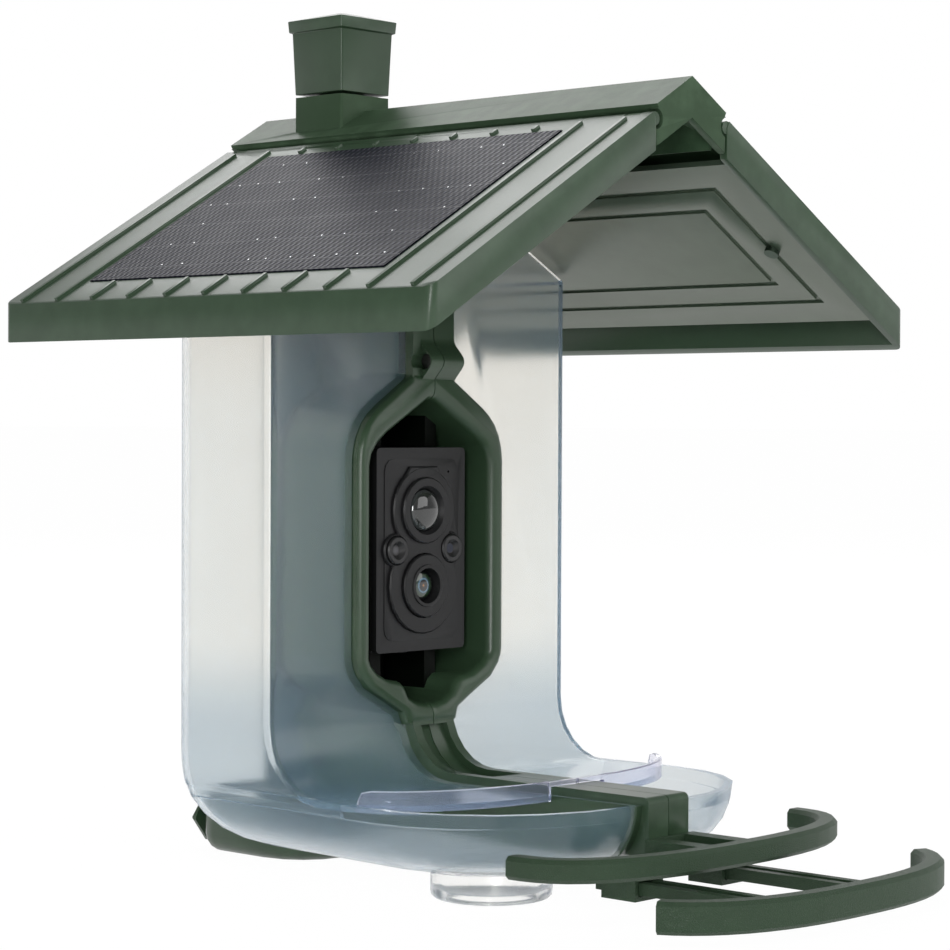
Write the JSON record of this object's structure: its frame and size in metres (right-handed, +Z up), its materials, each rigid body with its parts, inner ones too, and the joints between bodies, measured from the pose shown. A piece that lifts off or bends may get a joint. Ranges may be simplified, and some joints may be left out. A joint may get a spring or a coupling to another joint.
{
  "type": "smart bird feeder",
  "caption": "Bird feeder with a camera between two clear seed hoppers, a hinged solar roof with a chimney, a seed tray and two curved perches.",
  "frame": {"origin": "on the standing surface, on the symmetry plane, halfway between the outer perch's front and the roof's rear edge", "axes": "+X to the feeder's right as seen from the front, -Y towards the front, +Z up"},
  "size_m": [0.24, 0.272, 0.2993],
  "materials": {
    "green": "satin, finely grained",
    "clear": "frosted, translucent",
    "black": "fine matte",
    "solar": "dark cells under a clear sheet",
    "lens": "polished",
    "steel": "plain",
    "brass": "plain",
    "board": "solder mask",
    "battery": "film",
    "rubber": "matte"
  },
  "bodies": {
    "housing": {"ridge_cap": "green", "left_housing": "green", "right_housing": "green", "rear_base": "green", "inner_perch": "green", "left_hopper": "clear", "left_seed_lip": "clear", "left_foot": "clear", "left_hinge_pin": "steel", "base_screw_left": "steel", "right_hopper": "clear", "right_seed_lip": "clear", "right_foot": "clear", "right_hinge_pin": "steel", "base_screw_right": "steel", "housing_screw_neck": "steel", "housing_screw_upper_rear": "steel", "housing_screw_lower_rear": "steel", "antenna": "rubber", "tab_pin": "steel", "mount_insert": "brass", "camera_faceplate": "black", "camera_barrel": "black", "camera_case": "black", "light_sensor": "black", "status_light": "black", "camera_lens": "lens", "motion_lens": "lens", "camera_seal": "rubber", "main_board": "board", "battery": "battery"},
    "left_roof": {"left_roof_panel": "green", "left_solar_panel": "solar", "left_roof_cover": "green", "left_cover_screw_front": "steel", "left_cover_screw_rear": "steel"},
    "right_roof": {"right_roof_panel": "green", "right_solar_panel": "solar", "right_roof_cover": "green", "right_cover_screw_front": "steel", "right_cover_screw_rear": "steel"},
    "chimney": {"chimney_top": "green"},
    "outer_perch_body": {"outer_perch": "green"},
    "rear_tab_body": {"rear_tab": "green"},
    "power_button_body": {"power_button": "rubber"}
  },
  "joints": [
    {"name": "left_roof_hinge", "type": "hinge", "parent": "housing", "child": "left_roof", "pos_m": [-0.0182, 0.0355, 0.24886], "axis": [0, 1, 0], "range_deg": [0, 85]},
    {"name": "right_roof_hinge", "type": "hinge", "parent": "housing", "child": "right_roof", "pos_m": [0.0182, 0.0355, 0.24886], "axis": [0, -1, 0], "range_deg": [0, 85]},
    {"name": "chimney_turn", "type": "hinge", "parent": "housing", "child": "chimney", "pos_m": [0, 0.0959, 0.2702], "axis": [0, 0, 1], "range_deg": [0, 90]},
    {"name": "outer_perch_slide", "type": "slide", "parent": "housing", "child": "outer_perch_body", "axis": [0, -1, 0], "range_m": [0, 0.014]},
    {"name": "rear_tab_turn", "type": "hinge", "parent": "housing", "child": "rear_tab_body", "pos_m": [0, 0.1267, 0.0055], "axis": [-1, 0, 0], "range_deg": [0, 20], "stiffness_Nm_per_rad": 0.03, "springref_deg": -2.86},
    {"name": "power_button_press", "type": "slide", "parent": "housing", "child": "power_button_body", "axis": [0, 0, 1], "range_m": [0, 0.0011], "stiffness_N_per_m": 300, "springref_m": -0.0008}
  ]
}
